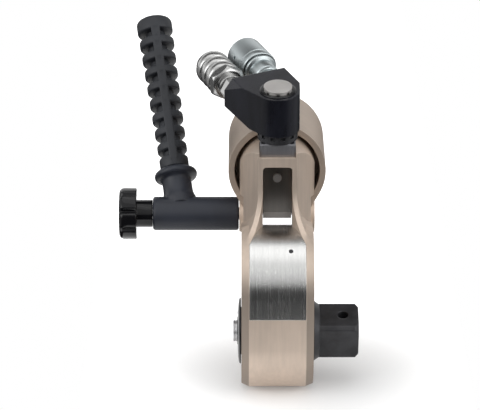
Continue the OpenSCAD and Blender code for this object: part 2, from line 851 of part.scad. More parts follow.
// Crank: two cheeks round the ratchet, a crossbar and two ears for the rod
module crank() {
  color([0.4, 0.41, 0.43]) difference() {
    union() {
      at_crank() {
        both_sides() along_x(fork_in, fork_out) {
          circle(crank_hub_r);
          polygon([
            [-26, 30], [-leg_half, 75], [-leg_half, crossbar_high], [leg_half, crossbar_high], [leg_half, 75], [26, 30]
          ]);
        }
        along_x(-fork_out, fork_out) translate([-leg_half, crossbar_low]) square([2 * leg_half, crossbar_high - crossbar_low]);
        both_sides() along_x(ear_in, head_half) {
          translate([0, crank_r]) circle(ear_r);
          translate([-web_half, crossbar_low]) square([2 * web_half, crank_r - crossbar_low]);
        }
      }
      both_sides() along_x(ear_in, head_half) polygon([
        [guard_y, guard_low + 6], [guard_y, guard_top - 8], [guard_y + 10, guard_top - 8], [guard_y + 12, guard_low + 16]
      ]);
      translate([-head_half, guard_y, guard_screw_z - 5]) cube([head_w, 7, 10]);
    }
    rod_x(-fork_out - 1, fork_out + 1, hub_d / 2 + run_gap);
    at_crank() rod_x(-head_half - 1, head_half + 1, pin_r, 0, crank_r);
    at_crank() rod_x(-fork_out - 1, fork_out + 1, pawl_pin_d / 2, drive_pawl_at.x, drive_pawl_at.y);
    rod_y(guard_y - 1, guard_y + 6, screw_d / 2, 0, guard_screw_z);
  }
}

// Pin between the crank's ears and the rod's tongue
module cross_pin() {
  color([0.55, 0.55, 0.57]) at_crank() rod_x(-head_half, head_half, pin_r, 0, crank_r);
}

// Plate that closes the slot in front of the crank's head
module guard_plate() {
  color([0.42, 0.42, 0.42]) difference() {
    along_x(-head_half, head_half) polygon([
      [guard_y, guard_top], [guard_y, guard_low + 5], [guard_y - 3, guard_low], [guard_y - 5, guard_low + 1.6],
      [guard_y - guard_t, guard_low + 6], [guard_y - guard_t, guard_top]
    ]);
    rod_y(guard_y - 9, guard_y + 1, screw_d / 2, 0, guard_screw_z);
  }
}

// Round-headed screw of the guard plate
module guard_screw() {
  color([0.3, 0.3, 0.31]) {
    rod_y(guard_y - guard_t - 0.01, guard_y + 6, screw_d / 2, 0, guard_screw_z);
    rod_y(guard_y - guard_t - 3, guard_y - guard_t, screw_d * 0.8, 0, guard_screw_z);
  }
}

// Pin of the drive pawl
module drive_pawl_pin() {
  color([0.5, 0.5, 0.52]) at_crank() rod_x(-fork_out, fork_out, pawl_pin_d / 2, drive_pawl_at.x, drive_pawl_at.y);
}

// Leaf spring between the cheeks, over the drive pawl
module pawl_spring() {
  color([0.35, 0.36, 0.4]) at_crank() along_x(-fork_in, fork_in)
    translate(drive_pawl_at + [-pawl_r + 2, pawl_r + side_gap]) square([2 * pawl_r - 4, leaf_t]);
}

// Pawl that drives the ratchet, in the crank
module drive_pawl() {
  p = drive_pawl_at;
  color([0.48, 0.48, 0.5]) at_crank() difference() {
    along_x(-ratchet_half, ratchet_half) {
      translate(p) circle(pawl_r);
      polygon([[p.x - 7, p.y + 3], [-15, 44], [-13, 37.6], [-7, 38.6], [p.x + 2, p.y - 7.6]]);
    }
    rod_x(-ratchet_half - 1, ratchet_half + 1, pawl_pin_d / 2 + run_gap, p.x, p.y);
  }
}

// Pawl that holds the ratchet, in the housing
module holding_pawl() {
  p = hold_pawl_at;
  color([0.48, 0.48, 0.5]) difference() {
    along_x(-ratchet_half, ratchet_half) {
      translate(p) circle(pawl_r);
      polygon([[p.x - 7.8, p.y], [-34.5, 42], [-34.5, 23], [-31, 24], [-26, 38], [p.x + 7, p.y - 4]]);
    }
    rod_x(-ratchet_half - 1, ratchet_half + 1, pawl_pin_d / 2 + run_gap, p.x, p.y);
  }
}

// Piston in the barrel
module piston() {
  color([0.6, 0.6, 0.62]) difference() {
    rod_y(piston_front, piston_back, bore_d / 2 - run_gap, 0, barrel_z);
    piston_groove();
    rod_y(piston_front - 1, piston_front + 8, rod_r - 5, 0, barrel_z);
  }
}

// Groove round the piston
module piston_groove() {
  difference() {
    rod_y(piston_front + 11, piston_front + 15, bore_d / 2 + 1, 0, barrel_z);
    rod_y(piston_front + 10, piston_front + 16, bore_d / 2 - 3, 0, barrel_z);
  }
}

// Seal in the piston's groove
module piston_seal() {
  color([0.08, 0.08, 0.08]) intersection() {
    piston_groove();
    rod_y(piston_front, piston_back, bore_d / 2 - run_gap, 0, barrel_z);
  }
}

// Rod with its slotted tongue
module piston_rod() {
  slot_low = pin_z;
  slot_high = pin_end_z;
  color([0.68, 0.68, 0.7]) difference() {
    union() {
      rod_y(tongue_back, piston_front, rod_r, 0, barrel_z);
      rod_y(piston_front - eps, piston_front + 8, rod_r - 5, 0, barrel_z);
      along_x(-tongue_t / 2, tongue_t / 2) translate([tongue_front, tongue_low])
        square([tongue_back - tongue_front + eps, tongue_high - tongue_low]);
    }
    along_x(-tongue_t, tongue_t) {
      translate([pin_y, slot_low]) circle(pin_r + pin_gap);
      translate([pin_y, slot_high]) circle(pin_r + pin_gap);
      translate([pin_y - pin_r - pin_gap, slot_low]) square([2 * (pin_r + pin_gap), slot_high - slot_low]);
    }
  }
}

// Plan of the manifold in the swivel's frame
module manifold_plan() {
  r = manifold_d / 2;
  turn = manifold_turn;
  along = [cos(turn), sin(turn)];
  out = [-sin(turn), cos(turn)];
  circle(r);
  polygon([
    [r, 0], [r, r * 0.75], port_n * out + 24 * along, port_n * out - 36 * along, [-r * 0.72, -r * 0.69]
  ]);
}

// Black hose manifold that turns on the post
module manifold() {
  color([0.06, 0.06, 0.08]) {
    difference() {
      at_swivel() difference() {
        translate([0, 0, manifold_low]) linear_extrude(manifold_h) manifold_plan();
        translate([0, 0, -1]) cylinder(h = manifold_high + 2, r = post_r + run_gap);
        rotate([0, 0, manifold_turn]) translate([-36, 0, manifold_low + manifold_h * 0.3]) rotate([0, 45, 0])
          translate([-20, -2 * port_n, -40]) cube([60, 4 * port_n, 40]);
        rotate([0, 0, manifold_turn]) translate([-36, 0, manifold_high - manifold_h * 0.27]) rotate([0, -52, 0])
          translate([-20, -2 * port_n, 0]) cube([60, 4 * port_n, 40]);
      }
      for (t = [left_t, right_t]) at_port(t) {
        translate([0, 0, -port_len]) cylinder(h = port_len + 1, d = port_d);
        translate([0, 0, -port_n * 0.6]) cylinder(h = port_n, d = 5);
      }
    }
  }
}

// Hexagonal nipple in a port, with the seat for a coupler
module nipple() {
  difference() {
    union() {
      translate([0, 0, -port_len]) cylinder(h = port_len + eps, d = port_d);
      cylinder(h = 3, d = nipple_af);
      translate([0, 0, 3 - eps]) hex_bar(nipple_af, nipple_len - 7);
      translate([0, 0, nipple_len - 4 - eps]) cylinder(h = 4, d = port_d + 2);
    }
    translate([0, 0, -port_len - 1]) cylinder(h = port_len + nipple_len + 2, d = 6);
  }
}

// Left nipple
module left_nipple() {
  color([0.7, 0.69, 0.67]) at_port(left_t) nipple();
}

// Right nipple
module right_nipple() {
  color([0.66, 0.68, 0.68]) at_port(right_t) nipple();
}

// Mouth of a coupler and the bore of its valve, from the coupler's end inwards
module coupler_mouth(mouth_r) {
  valve_room = valve_len + valve_travel + side_gap;
  translate([0, 0, -mouth_depth]) cylinder(h = mouth_depth + 1, r = mouth_r);
  translate([0, 0, -mouth_depth - valve_room]) cylinder(h = valve_room + 1, r = mouth_r - mouth_step);
}

// Body of the left coupler: a hexagon, a spigot for the collar and an open end
module left_coupler() {
  color([0.72, 0.72, 0.72]) at_port(left_t) translate([0, 0, nipple_len]) difference() {
    union() {
      cylinder(h = left_neck + eps, d = nipple_af);
      translate([0, 0, left_neck]) intersection() {
        hex_bar(left_hex_af, left_hex_len - left_neck);
        cylinder(h = left_hex_len - left_neck, d1 = left_hex_af - 3, d2 = left_hex_af + left_hex_len);
      }
      translate([0, 0, left_hex_len - eps]) cylinder(h = left_len - mouth_lip - left_hex_len, d = left_d - 8);
    }
    translate([0, 0, left_len - mouth_lip]) coupler_mouth(left_mouth_r);
    translate([0, 0, -1]) cylinder(h = left_len - mouth_depth, d = 6);
  }
}

// Grooved collar that turns on the left coupler
module left_collar() {
  h = left_len - left_hex_len - side_gap;
  color([0.75, 0.75, 0.75]) at_port(left_t) translate([0, 0, nipple_len + left_hex_len + side_gap]) difference() {
    cylinder(h = h, d = left_d);
    translate([0, 0, -1]) cylinder(h = h + 2, d = left_d - 8 + 2 * run_gap);
    for (i = [1 : left_rings - 1]) translate([0, 0, i * ring_pitch - ring_groove]) difference() {
      cylinder(h = ring_groove, d = left_d + 2);
      translate([0, 0, -1]) cylinder(h = ring_groove + 2, d = left_d - 4);
    }
  }
}

// Valve of a coupler, level with the floor of its mouth
module valve(len, mouth_r) {
  translate([0, 0, nipple_len + len - mouth_lip - mouth_depth - valve_len])
    cylinder(h = valve_len, r = mouth_r - mouth_step - run_gap);
}

// Sprung valve in the left coupler
module left_poppet() {
  color([0.6, 0.6, 0.6]) at_port(left_t) valve(left_len, left_mouth_r);
}

// Body of the right coupler
module right_coupler() {
  color([0.66, 0.69, 0.69]) at_port(right_t) translate([0, 0, nipple_len]) difference() {
    union() {
      cylinder(h = 14, d = right_d - 8);
      translate([0, 0, 14 - eps]) cylinder(h = 6, d = right_d - 3);
      translate([0, 0, 20 - eps]) cylinder(h = right_len - mouth_lip - 20, d = right_d - 9);
    }
    translate([0, 0, right_len - mouth_lip]) coupler_mouth(right_mouth_r);
    translate([0, 0, -1]) cylinder(h = right_len - mouth_depth, d = 6);
  }
}

// Sliding sleeve of the right coupler
module right_sleeve() {
  low = 20 + sleeve_travel + side_gap;
  h = right_len - low;
  color([0.62, 0.66, 0.66]) at_port(right_t) translate([0, 0, nipple_len + low]) difference() {
    cylinder(h = h, d = right_d);
    translate([0, 0, -1]) cylinder(h = h + 2, d = right_d - 9 + 2 * run_gap);
    rotate([0, 0, 200]) translate([right_d / 2 - 2, 0, h * 0.6]) rotate([0, 90, 0]) cylinder(h = 6, d = 3.4);
  }
}

// Sprung valve in the right coupler
module right_poppet() {
  color([0.6, 0.6, 0.6]) at_port(right_t) valve(right_len, right_mouth_r);
}

// Tee of the side handle, with the collar under the grip
module handle_tee() {
  color([0.2, 0.22, 0.25]) difference() {
    union() {
      rod_x(tee_end, tee_x, tee_d / 2, boss_y, boss_z);
      at_grip() {
        cylinder(h = grip_collar_s + eps, d = grip_neck_d);
        translate([0, 0, grip_collar_s]) cylinder(h = grip_collar_t, d = grip_collar_d);
      }
    }
    rod_x(tee_end - 1, tee_x + 1, boss_thread_d / 2 + side_gap, boss_y, boss_z);
    at_grip() translate([0, 0, collar_top_s - 22]) cylinder(h = 30, d = core_d);
  }
}

// Ribbed grip
module handle_grip() {
  step_d = (rib_high_d - rib_low_d) / (rib_count - 1);
  spine_len = rib_count * rib_pitch - 3;
  color([0.19, 0.2, 0.23]) at_grip() difference() {
    union() {
      translate([0, 0, grip_low_s]) cylinder(h = grip_end_s - grip_low_s, d = grip_root_d);
      for (i = [0 : rib_count - 1]) translate([0, 0, first_rib_s + i * rib_pitch - 5]) {
        d = rib_low_d + i * step_d;
        cylinder(h = 2.5, d1 = grip_root_d, d2 = d);
        translate([0, 0, 2.5 - eps]) cylinder(h = 5 + 2 * eps, d = d);
        translate([0, 0, 7.5]) cylinder(h = 2.5, d1 = d, d2 = grip_root_d);
      }
      translate([0, 0, top_rib_s]) cylinder(h = grip_cap, d = rib_high_d - 2);
      translate([0, 0, first_rib_s - rib_pitch / 2]) intersection() {
        translate([-spine_w / 2, -rib_high_d / 2, 0]) cube([spine_w, rib_high_d, spine_len]);
        cylinder(h = spine_len, d1 = rib_low_d - 2 * spine_drop, d2 = rib_high_d - 2 * spine_drop);
      }
    }
    translate([0, 0, grip_low_s - 1]) cylinder(h = grip_end_s - grip_low_s - 9, d = core_d);
  }
}

// Steel core that joins the grip to the tee
module grip_core() {
  color([0.5, 0.5, 0.52]) at_grip() translate([0, 0, collar_top_s - 22])
    cylinder(h = grip_end_s - 10.4 - collar_top_s + 22, d = core_d);
}

// Lobed clamp knob with its stem
module clamp_knob() {
  lobe_r = knob_d * 0.14;
  color([0.04, 0.04, 0.045]) difference() {
    union() {
      rod_x(knob_x - eps, stem_x, stem_d / 2, boss_y, boss_z);
      translate([0, boss_y, boss_z]) {
        rod_x(knob_end, knob_x, knob_d / 2 - 3.4);
        for (i = [0 : knob_lobes - 1]) rotate([i * 360 / knob_lobes, 0, 0])
          rod_x(knob_end + 1.5, knob_x, lobe_r, 0, knob_d / 2 - lobe_r);
      }
    }
    rod_x(knob_end + 4, stem_x + 1, bolt_r, boss_y, boss_z);
  }
}

// Bolt that clamps the tee to its boss
module clamp_bolt() {
  color([0.55, 0.55, 0.56]) rod_x(knob_end + 4, -boss_x + boss_thread_len - 0.5, bolt_r, boss_y, boss_z);
}

housing();
shroud();
shroud_screw();
barrel();
barrel_screws();
end_cap();
rod_gland();
gland_seal();
drive_bushes();
holding_pawl_pin();
holding_spring();
swivel_block();
block_screws();
swivel_base_ring();
swivel_post();
post_seals();
square_drive();
ratchet_wheel();
retainer_disc();
disc_screws();
retainer_button();
crank();
cross_pin();
guard_plate();
guard_screw();
drive_pawl_pin();
pawl_spring();
drive_pawl();
holding_pawl();
piston();
piston_seal();
piston_rod();
manifold();
left_nipple();
left_coupler();
left_collar();
left_poppet();
right_nipple();
right_coupler();
right_sleeve();
right_poppet();
handle_tee();
handle_grip();
grip_core();
clamp_knob();
clamp_bolt();
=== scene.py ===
"""Looks of a square-drive hydraulic torque wrench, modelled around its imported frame."""

import json
import math

import bpy
from bpy.props import FloatProperty, FloatVectorProperty, IntProperty, PointerProperty
from mathutils import Matrix, Vector


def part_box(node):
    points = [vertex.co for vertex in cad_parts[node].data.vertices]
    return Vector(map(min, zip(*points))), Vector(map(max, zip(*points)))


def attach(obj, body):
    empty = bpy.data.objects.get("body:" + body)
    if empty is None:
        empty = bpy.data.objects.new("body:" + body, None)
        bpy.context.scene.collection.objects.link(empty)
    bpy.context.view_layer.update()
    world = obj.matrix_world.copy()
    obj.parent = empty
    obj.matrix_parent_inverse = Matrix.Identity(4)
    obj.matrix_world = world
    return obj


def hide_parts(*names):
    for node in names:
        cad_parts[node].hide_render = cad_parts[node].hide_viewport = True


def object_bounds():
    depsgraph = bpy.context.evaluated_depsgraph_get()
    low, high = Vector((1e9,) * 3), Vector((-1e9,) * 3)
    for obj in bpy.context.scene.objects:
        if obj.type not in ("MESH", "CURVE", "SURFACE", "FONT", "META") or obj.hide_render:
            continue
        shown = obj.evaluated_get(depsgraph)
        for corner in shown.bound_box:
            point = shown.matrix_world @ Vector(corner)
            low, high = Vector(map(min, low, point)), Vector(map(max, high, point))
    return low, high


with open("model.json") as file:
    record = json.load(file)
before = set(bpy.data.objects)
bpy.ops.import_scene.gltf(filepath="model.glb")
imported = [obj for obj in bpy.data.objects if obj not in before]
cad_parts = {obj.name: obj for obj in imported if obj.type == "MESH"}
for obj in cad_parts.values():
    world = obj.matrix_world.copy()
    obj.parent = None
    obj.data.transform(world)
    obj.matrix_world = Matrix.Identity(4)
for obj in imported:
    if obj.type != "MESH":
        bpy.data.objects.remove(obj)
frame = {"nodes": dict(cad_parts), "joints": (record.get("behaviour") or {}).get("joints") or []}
CAD_BOX = [list(corner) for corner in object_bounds()]
NODES = frame["nodes"]
JOINTS = {joint["name"]: joint for joint in frame["joints"]}
MM = 0.001

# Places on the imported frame, in mm and degrees
HANDLE = [place / MM for place in JOINTS["handle_swing"]["pos_m"][1:]]
SWIVEL_FOOT = [place / MM for place in JOINTS["swivel_turn"]["pos_m"]]
DRIVE_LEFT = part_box("retainer_disc")[1][0] / MM
TEE_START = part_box("handle_tee")[1][0] / MM
KNOB_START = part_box("clamp_knob")[1][0] / MM
KNOB_TURN = -20.0
GRIP_FOOT, GRIP_BACK, GRIP_OUT = -89.0, -43.0, -8.0
SWIVEL_TILT = 10.0
PORT_HEIGHT, PORT_FACE, PORT_TURN = 40.25, 38.5, 24.0
LEFT_PORT, RIGHT_PORT = -21.0, 17.0

# The nose's front half width, the blur at its edge, and the heights where the painted shade on its flanks
# ends, in metres
NOSE_FRONT, NOSE_BLUR, NOSE_TOP = 0.0262, 0.0004, (0.06, 0.10)

# Angles where the room's light changes, up from the horizon in front, over the top and down behind
HORIZON, FRONT_RISE, OVERHEAD, BACKDROP = (6.0, 12.0), (0.0, 48.0), (98.0, 116.0), (134.0, 150.0)

# How far to a side a ray points where the side walls begin
SIDES = (0.55, 0.90)

# Light of the room in front at the horizon and its gain above, and behind and its gain in metal
FRONT_LIGHT, FRONT_GAIN, BACK_LIGHT, BACK_GAIN = 0.46, 0.40, 0.70, 0.24

# Light of the room at the sides and all round
SIDE_LIGHT, ROOM_LIGHT = 0.34, 0.03

# Gap under the wrench, the shadow's middle, where the floor's painted glow is lowest, and the distances over
# which the glow rises and the shadow fades, in metres
FLOOR_GAP, SHADOW_X, SHADOW_FADE = 0.0004, 0.03, (0.03, 0.24)

# Painted glow of the floor in the shadow, and its gain away from it, which whitens shadows there
SHADOW_GLOW, FLOOR_GAIN = 0.12, 0.66

# Width of the camera's sensor in mm
SENSOR = 36.0

WHITE = (1.0, 1.0, 1.0)

bl_info = {
    "name": "Hydraulic torque wrench",
    "version": (1, 0, 0),
    "blender": (4, 5, 0),
    "location": "View3D > Sidebar > Wrench",
    "description": "Dresses a packed torque wrench with its finishes, grip, knob and studio",
    "category": "Object",
}


# Sizes and colours that a user would change

def length(name, description, default):
    """A size in metres."""
    return FloatProperty(name=name, description=description, default=default, min=0.0, unit="LENGTH",
                         precision=5)


def power(name, description, default):
    """A lamp's power in watts."""
    return FloatProperty(name=name, description=description, default=default, min=0.0)


def colour(name, description, default):
    """A linear colour."""
    return FloatVectorProperty(name=name, description=description, default=default, size=3, min=0.0, max=1.0,
                               subtype="COLOR")


class WrenchFinishes(bpy.types.PropertyGroup):
    """Colours of the finishes."""
    nickel: colour("Nickel", "Satin nickel plate on the housing and the barrel", (0.635, 0.53, 0.445))
    stainless: colour("Stainless", "Brushed cover over the nose", (0.68, 0.68, 0.67))
    oxide: colour("Black oxide", "Blackened steel of the square drive", (0.034, 0.034, 0.037))
    anodised: colour("Anodised", "Black anodised manifold", (0.009, 0.0095, 0.014))
    chrome: colour("Chrome", "Bright plate on the left coupler", (0.48, 0.48, 0.475))
    zinc: colour("Zinc", "Clear zinc plate on the right coupler", (0.475, 0.52, 0.53))
    nylon: colour("Nylon", "Charcoal nylon of the handle's tee", (0.014, 0.017, 0.027))
    rubber: colour("Rubber", "Charcoal rubber of the grip", (0.015, 0.017, 0.022))
    thermoset: colour("Knob", "Glossy black of the clamp knob", (0.005, 0.005, 0.006))
    guard: colour("Guard", "Dark sheet in the neck's slot", (0.23, 0.218, 0.208))
    block: colour("Block", "Ground block under the swivel", (0.29, 0.29, 0.31))
    cap: colour("Cap", "Plate on the swivel post's head", (0.64, 0.62, 0.60))
    guard_screw: colour("Guard screw", "Plate on the guard's screw", (0.50, 0.50, 0.51))
    screws: colour("Screws", "Blackened screws", (0.03, 0.03, 0.032))
    base_ring: colour("Base ring", "Black ring under the manifold", (0.030, 0.030, 0.033))
    washer: colour("Washer", "Black washer round the post's head", (0.010, 0.010, 0.011))
    steel: colour("Steel", "Bright turned steel", (0.60, 0.60, 0.61))
    tool_steel: colour("Tool steel", "Hardened steel of the works", (0.30, 0.30, 0.31))
    spring: colour("Spring", "Blued springs", (0.16, 0.18, 0.22))
    bronze: colour("Bronze", "Bushes and gland", (0.52, 0.33, 0.13))
    seal: colour("Seal", "Rubber seals", (0.012, 0.012, 0.012))


class WrenchGrip(bpy.types.PropertyGroup):
    """Sizes of the handle's grip and tee."""
    ribs: IntProperty(name="Ribs", description="Number of ribs on the grip", default=9, min=2)
    pitch: length("Pitch", "Spacing of the ribs", 0.0157)
    first: length("First rib", "Middle of the lowest rib, from the tee's axis", 0.0664)
    low: length("Lowest rib", "Diameter over the lowest rib", 0.028)
    high: length("Top rib", "Diameter over the top rib", 0.0338)
    root: length("Root", "Diameter between the ribs", 0.0184)
    spine: length("Spine", "Width of the spines that join the ribs", 0.0082)
    tee: length("Tee", "Diameter of the tee", 0.0313)
    tee_length: length("Tee length", "Length of the tee", 0.080)
    flange: length("Flange", "Diameter of the flange under the grip", 0.040)
    neck: length("Neck", "Diameter of the neck under the flange", 0.0275)


class WrenchKnob(bpy.types.PropertyGroup):
    """Sizes of the clamp knob."""
    diameter: length("Diameter", "Diameter over the knob", 0.0476)
    thickness: length("Thickness", "Thickness of the knob", 0.0164)
    flutes: IntProperty(name="Flutes", description="Number of flutes round the knob", default=8, min=3)
    depth: length("Flute depth", "Depth of a flute", 0.0028)
    stem: length("Stem", "Diameter of the stem", 0.0256)
    stem_length: length("Stem length", "Length of the stem", 0.0146)


class WrenchCouplers(bpy.types.PropertyGroup):
    """Sizes of the two hose couplers."""
    nut: length("Nut", "Left coupler's hexagon across its flats", 0.030)
    collar: length("Collar", "Diameter of the ringed collar", 0.033)
    rings: IntProperty(name="Rings", description="Number of rings on the collar", default=3, min=1)
    ring_pitch: length("Ring pitch", "Spacing of the rings", 0.0106)
    left_mouth: length("Left mouth", "Diameter of the left coupler's mouth", 0.016)
    sleeve: length("Sleeve", "Diameter of the sliding sleeve", 0.035)
    right_mouth: length("Right mouth", "Diameter of the right coupler's mouth", 0.021)


class WrenchStage(bpy.types.PropertyGroup):
    """Camera, floor and lamps."""
    distance: length("Distance", "From the camera to the wrench", 2.75)
    elevation: FloatProperty(name="Elevation", description="Height angle of the camera", subtype="ANGLE",
                             default=math.radians(20))
    frame_width: length("Frame width", "Width of the picture at the wrench", 0.4444)
    target: FloatVectorProperty(name="Target", description="Point at the middle of the picture", size=3,
                                default=(-0.0343, 0.0397, 0.1092), subtype="XYZ", unit="LENGTH")
    floor_colour: colour("Floor", "Colour of the floor", (0.80, 0.80, 0.80))
    floor_size: length("Floor size", "Depth of the floor", 1.6)
    floor_width: length("Floor width", "Width of the floor", 0.36)
    floor_front: length("Floor front", "How far the floor reaches in front of the drive's axis", 0.170)
    lamp_power: power("Lamp", "Power of the overhead softbox in watts", 3.4)
    strip_power: power("Strip", "Power of the overhead strip in watts", 0.22)
    fill_power: power("Fill", "Power of each side softbox in watts", 16.0)


# Shader expressions

class Wire:
    """A shader socket that takes part in Python expressions, each of which adds its Math node."""

    def __init__(self, tree, socket=None):
        self.tree = tree
        self.socket = socket

    def node(self, kind, settings=None, out=0, **sockets):
        """Add a node: its settings first, then the values or links of its sockets. Gives one output."""
        made = self.tree.nodes.new("ShaderNode" + kind)
        for key, value in (settings or {}).items():
            setattr(made, key, value)
        for key, value in sockets.items():
            name = key.replace("_", " ")
            found = [s for s in made.inputs if s.name == name and s.enabled]
            index = 0
            if not found:
                name, index = name.rsplit(" ", 1)
                found = [s for s in made.inputs if s.name == name and s.enabled]
            self.feed(found[int(index)], value)
        outputs = [s for s in made.outputs if s.enabled and (out == 0 or s.name == out)]
        return Wire(self.tree, outputs[0] if outputs else None)

    def feed(self, target, value):
        """Link a wire to a socket, or set the socket's own value."""
        if isinstance(value, Wire):
            self.tree.links.new(value.socket, target)
        elif hasattr(value, "__len__") and target.type == "RGBA" and len(value) == 3:
            target.default_value = (*value, 1.0)
        else:
            target.default_value = value

    def math(self, operation, first, second):
        """One Math node."""
        return self.node("Math", {"operation": operation}, Value_0=first, Value_1=second)

    def __add__(self, other):
        return self.math("ADD", self, other)

    __radd__ = __add__

    def __sub__(self, other):
        return self.math("SUBTRACT", self, other)

    def __rsub__(self, other):
        return self.math("SUBTRACT", other, self)

    def __mul__(self, other):
        return self.math("MULTIPLY", self, other)

    __rmul__ = __mul__

    def step(self, low, high):
        """A smooth step from 0 at low to 1 at high."""
        return self.node("MapRange", {"interpolation_type": "SMOOTHSTEP"}, Value=self, From_Min=low,
                         From_Max=high)

    def tint(self, dark, light):
        """A colour between two others."""
        return self.node("Mix", {"data_type": "RGBA"}, out="Result", Factor=self, A=dark, B=light)


def new_finish(name):
    """An empty node material and the wire that starts its expressions."""
    material = bpy.data.materials.new(name)
    material.use_nodes = True
    material.node_tree.nodes.clear()
    return material, Wire(material.node_tree)


def close_finish(material, start, **sockets):
    """End a material with a Principled shader."""
    shader = start.node("BsdfPrincipled", **sockets)
    start.node("OutputMaterial", Surface=shader)
    return material


def place_of(start, scale=(1.0, 1.0, 1.0)):
    """Object coordinates in metres, scaled."""
    where = start.node("TexCoord", out="Object")
    return start.node("Mapping", Vector=where, Scale=scale)


def part_of(start, vector, axis):
    """One part of a vector."""
    return start.node("SeparateXYZ", out=axis, Vector=vector)


def size_of(start, value):
    """A value without its sign."""
    return start.math("MAXIMUM", value, 0.0 - value)


def seen_rays(start):
    """One for rays that show the background: from the camera, or off metal, or through glass."""
    kinds = [start.node("LightPath", out=f"Is {kind} Ray") for kind in ("Camera", "Glossy", "Transmission")]
    return start.math("MAXIMUM", kinds[0], start.math("MAXIMUM", kinds[1], kinds[2]))


def grain(start, place, scale, detail=3.0, rough=0.55):
    """Noise between 0 and 1."""
    return start.node("TexNoise", Vector=place, Scale=scale, Detail=detail, Roughness=rough)


def edges(start, radius):
    """Normals rounded over sharp edges."""
    return start.node("Bevel", {"samples": 6}, Radius=radius)


def paint(name):
    """A colour from the panel's finishes."""
    return tuple(getattr(bpy.context.scene.wrench_finishes, name))


def shade(rgb, factor):
    """A colour made lighter or darker."""
    return tuple(min(1.0, c * factor) for c in rgb)


def satin_plate(name, rgb, rough=0.54, edge=0.0007, streaks=(260.0, 260.0, 18.0), flank_shade=0.0):
    """Plated steel with a fine machined grain and faint handling marks, with painted shade on the flanks of
    the nose.
    """
    material, start = new_finish(name)
    here = place_of(start)
    aside, high = size_of(start, part_of(start, here, "X")), part_of(start, here, "Z")
    # Painted shade: on the nose's side flanks, below NOSE_TOP, the colour darkens towards 0.36 of itself
    painted_shade = aside.step(NOSE_FRONT - NOSE_BLUR, NOSE_FRONT + NOSE_BLUR) * (1.0 - high.step(*NOSE_TOP)) * flank_shade
    lines = grain(start, place_of(start, streaks), 1.0, 4.0, 0.6)
    clouds = grain(start, here, 22.0, 3.0)
    specks = grain(start, here, 2600.0, 2.0)
    mix = (lines * 0.5 + clouds * 0.5).step(0.25, 0.75)
    relief = start.node("Bump", Strength=0.10, Distance=0.0002, Height=lines * 0.7 + specks * 0.5,
                        Normal=edges(start, edge))
    tone = painted_shade.tint(mix.tint(shade(rgb, 0.88), shade(rgb, 1.08)), shade(rgb, 0.36))
    return close_finish(material, start, Base_Color=tone, Metallic=0.78,
                        Roughness=clouds * 0.12 + lines * 0.08 + (rough - 0.10), Normal=relief)


def brushed_sheet(name, rgb, rough=0.20, streaks=(2400.0, 26.0, 26.0), edge=0.0005, depth=0.00030):
    """Sheet steel with long brush lines."""
    material, start = new_finish(name)
    fine = grain(start, place_of(start, streaks), 1.0, 5.0, 0.7)
    broad = grain(start, place_of(start, tuple(0.16 * s for s in streaks)), 1.0, 3.0)
    lines = (fine * 0.75 + broad * 0.25).step(0.30, 0.70)
    relief = start.node("Bump", Strength=0.35, Distance=depth, Height=fine, Normal=edges(start, edge))
    tone = lines.tint(shade(rgb, 0.90), shade(rgb, 1.06))
    return close_finish(material, start, Base_Color=tone, Metallic=1.0, Roughness=lines * 0.06 + rough,
                        Normal=relief)


def turned_metal(name, rgb, rough=0.16, spots=60.0, edge=0.0005):
    """Turned and plated metal, nearly smooth."""
    material, start = new_finish(name)
    here = place_of(start)
    clouds = grain(start, here, spots, 3.0)
    fine = grain(start, here, 1400.0, 2.0)
    tone = clouds.step(0.3, 0.7).tint(shade(rgb, 0.94), shade(rgb, 1.04))
    return close_finish(material, start, Base_Color=tone, Metallic=1.0, Normal=edges(start, edge),
                        Roughness=clouds * 0.05 + fine * 0.03 + (rough - 0.04))


def dark_coat(name, rgb, rough=0.34, metallic=0.0, lines=(40.0, 40.0, 40.0), edge=0.0007, film=1.45):
    """Blackened or anodised metal: a dark film with a soft gloss and a fine grain."""
    material, start = new_finish(name)
    here = place_of(start)
    clouds = grain(start, place_of(start, lines), 1.0, 4.0, 0.6)
    specks = grain(start, here, 1800.0, 2.0)
    relief = start.node("Bump", Strength=0.12, Distance=0.00012, Height=specks, Normal=edges(start, edge))
    tone = clouds.step(0.3, 0.72).tint(shade(rgb, 0.65), shade(rgb, 1.35))
    return close_finish(material, start, Base_Color=tone, Metallic=metallic, Normal=relief, IOR=film,
                        Roughness=clouds * 0.14 + specks * 0.08 + (rough - 0.11))


def moulded(name, rgb, rough=0.55, grit=1500.0, depth=0.00016, edge=0.0008):
    """Moulded plastic or rubber with a fine grained skin."""
    material, start = new_finish(name)
    here = place_of(start)
    skin = grain(start, here, grit, 3.0, 0.6)
    clouds = grain(start, here, 34.0, 3.0)
    relief = start.node("Bump", Strength=0.30, Distance=depth, Height=skin, Normal=edges(start, edge))
    tone = clouds.step(0.3, 0.7).tint(shade(rgb, 0.82), shade(rgb, 1.16))
    return close_finish(material, start, Base_Color=tone, Normal=relief,
                        Roughness=clouds * 0.10 + skin * 0.10 + (rough - 0.10))


def glossy_black(name, rgb, rough=0.08, edge=0.0009):
    """Polished thermoset with faint waviness."""
    material, start = new_finish(name)
    clouds = grain(start, place_of(start), 70.0, 2.0)
    relief = start.node("Bump", Strength=0.04, Distance=0.0004, Height=clouds, Normal=edges(start, edge))
    return close_finish(material, start, Base_Color=clouds.tint(shade(rgb, 0.7), shade(rgb, 1.3)),
                        Roughness=clouds * 0.06 + rough, Normal=relief, IOR=1.38)


def dress(material, *names):
    """Give CAD nodes their finish."""
    for name in names:
        slots = NODES[name].data.materials
        slots.clear()
        slots.append(material)


# Modelling

def make_active(piece):
    """Select one piece alone."""
    bpy.ops.object.select_all(action="DESELECT")
    piece.select_set(True)
    bpy.context.view_layer.objects.active = piece


